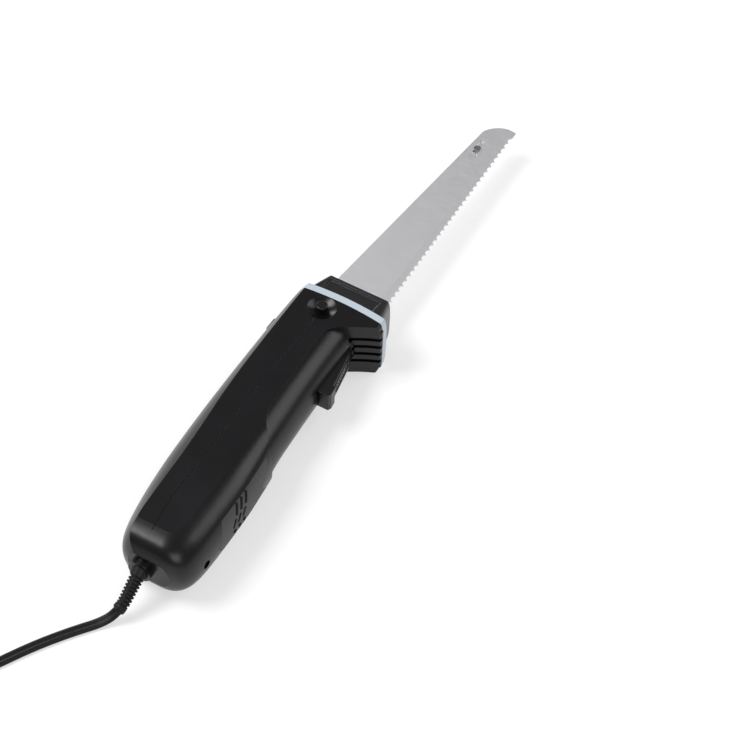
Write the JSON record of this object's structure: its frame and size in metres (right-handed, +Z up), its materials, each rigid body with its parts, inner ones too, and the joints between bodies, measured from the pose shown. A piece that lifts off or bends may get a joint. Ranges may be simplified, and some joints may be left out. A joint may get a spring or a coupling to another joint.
{
  "type": "electric carving knife",
  "caption": "Corded electric carving knife lying on its side, with twin scalloped reciprocating blades, a finger trigger and a coiled mains cord.",
  "frame": {"origin": "middle of the knife's own footprint on the surface it lies on, the cord left out", "axes": "+X to the blade tip, +Y to the spine of the handle, +Z up through the knife's thickness"},
  "size_m": [0.6887, 0.1383, 0.0496],
  "materials": {
    "black_abs": "satin moulded plastic, black",
    "black_textured": "fine spark texture, black",
    "black_nose": "satin moulded plastic, black",
    "pale_trim": "satin, pale blue-grey",
    "black_nylon": "semi-matt moulded plastic, black",
    "black_button": "semi-matt, black",
    "bearing_nylon": "natural nylon",
    "gear_nylon": "natural nylon",
    "blade_steel": "brushed along the blade",
    "rivet_steel": "plain",
    "shaft_steel": "ground",
    "screw_steel": "blackened",
    "spring_steel": "drawn wire and strip",
    "lamination_steel": "stacked laminations",
    "frame_zinc": "pressed plate",
    "bronze": "sintered",
    "copper": "turned copper segments",
    "enamelled_copper": "enamelled wire",
    "brass": "bright",
    "carbon": "pressed carbon",
    "lead_insulation": "soft insulation",
    "black_vinyl": "soft vinyl, black"
  },
  "bodies": {
    "housing": {"grip_shell": "black_abs", "spine_shell": "black_abs", "vent_panel": "black_textured", "housing_screw": "screw_steel", "trim_ring": "pale_trim", "nose": "black_nose", "blade_guide": "bearing_nylon", "gear_axle": "rivet_steel", "gear_frame": "frame_zinc", "bush_rear": "bronze", "bush_front": "bronze", "stator": "lamination_steel", "field_coil_upper": "enamelled_copper", "field_coil_lower": "enamelled_copper", "bearing_rear": "bronze", "bearing_front": "bronze", "brush_upper": "carbon", "brush_holder_upper": "brass", "brush_spring_upper": "spring_steel", "brush_lower": "carbon", "brush_holder_lower": "brass", "brush_spring_lower": "spring_steel", "trigger_pin": "rivet_steel", "release_spring": "spring_steel", "lock_spring": "spring_steel", "trigger_spring": "spring_steel", "switch_body": "black_nylon", "lead_upper": "lead_insulation", "lead_lower": "lead_insulation", "cord_clamp": "black_nylon", "strain_relief": "black_vinyl", "cord_run": "black_vinyl", "cord_coil": "black_vinyl", "cord_tie": "black_nylon", "plug_body": "black_vinyl", "plug_prong_left": "brass", "plug_prong_right": "brass"},
    "armature": {"worm_shaft": "shaft_steel", "commutator": "copper", "armature_core": "lamination_steel", "armature_windings": "enamelled_copper", "cooling_fan": "black_nylon"},
    "gear": {"drive_gear": "gear_nylon"},
    "upper_drive": {"carrier_upper": "bearing_nylon", "blade_upper": "blade_steel"},
    "lower_drive": {"carrier_lower": "bearing_nylon", "blade_lower": "blade_steel", "blade_rivet": "rivet_steel"},
    "upper_latch": {"latch_upper": "spring_steel"},
    "lower_latch": {"latch_lower": "spring_steel"},
    "release": {"release_button": "black_button"},
    "lock": {"lock_button": "black_button"},
    "trigger": {"trigger": "black_button"},
    "plunger": {"switch_plunger": "bearing_nylon"}
  },
  "joints": [
    {"name": "armature_spin", "type": "hinge", "parent": "housing", "child": "armature", "pos_m": [-0.118, -0.0023, 0.0233], "axis": [1, 0, 0], "range_deg": [-2520, 2520]},
    {"name": "gear_turn", "type": "hinge", "parent": "housing", "child": "gear", "pos_m": [-0.054, 0.0157, 0.0233], "axis": [0, 0, 1], "range_deg": [-90, 90]},
    {"name": "upper_blade_slide", "type": "slide", "parent": "housing", "child": "upper_drive", "axis": [1, 0, 0], "range_m": [-0.0035, 0.0035]},
    {"name": "lower_blade_slide", "type": "slide", "parent": "housing", "child": "lower_drive", "axis": [1, 0, 0], "range_m": [-0.0035, 0.0035]},
    {"name": "release_press", "type": "slide", "parent": "housing", "child": "release", "axis": [0, 0, -1], "range_m": [0, 0.003], "stiffness_N_per_m": 200, "deforming": ["release_spring"]},
    {"name": "upper_latch_slide", "type": "slide", "parent": "upper_drive", "child": "upper_latch", "axis": [0, -1, 0], "range_m": [0, 0.002]},
    {"name": "lower_latch_slide", "type": "slide", "parent": "lower_drive", "child": "lower_latch", "axis": [0, -1, 0], "range_m": [0, 0.002]},
    {"name": "lock_slide", "type": "slide", "parent": "housing", "child": "lock", "axis": [0, -1, 0], "range_m": [0, 0.002], "stiffness_N_per_m": 300, "deforming": ["lock_spring"]},
    {"name": "trigger_pull", "type": "hinge", "parent": "housing", "child": "trigger", "pos_m": [-0.017, -0.0184, 0.0233], "axis": [0, 0, -1], "range_deg": [0, 6], "stiffness_Nm_per_rad": 0.3, "deforming": ["trigger_spring"]},
    {"name": "plunger_press", "type": "slide", "parent": "housing", "child": "plunger", "axis": [0, 1, 0], "range_m": [0, 0.00262]}
  ],
  "couplings": [
    {"joint": "gear_turn", "follows": "armature_spin", "ratio": -0.035714},
    {"joint": "upper_blade_slide", "follows": "armature_spin", "m_per_rad": 0.000079577},
    {"joint": "lower_blade_slide", "follows": "armature_spin", "m_per_rad": -0.000079577},
    {"joint": "upper_latch_slide", "follows": "release_press", "ratio": 0.6666},
    {"joint": "lower_latch_slide", "follows": "release_press", "ratio": 0.6666},
    {"joint": "plunger_press", "follows": "trigger_pull", "m_per_rad": 0.025}
  ]
}
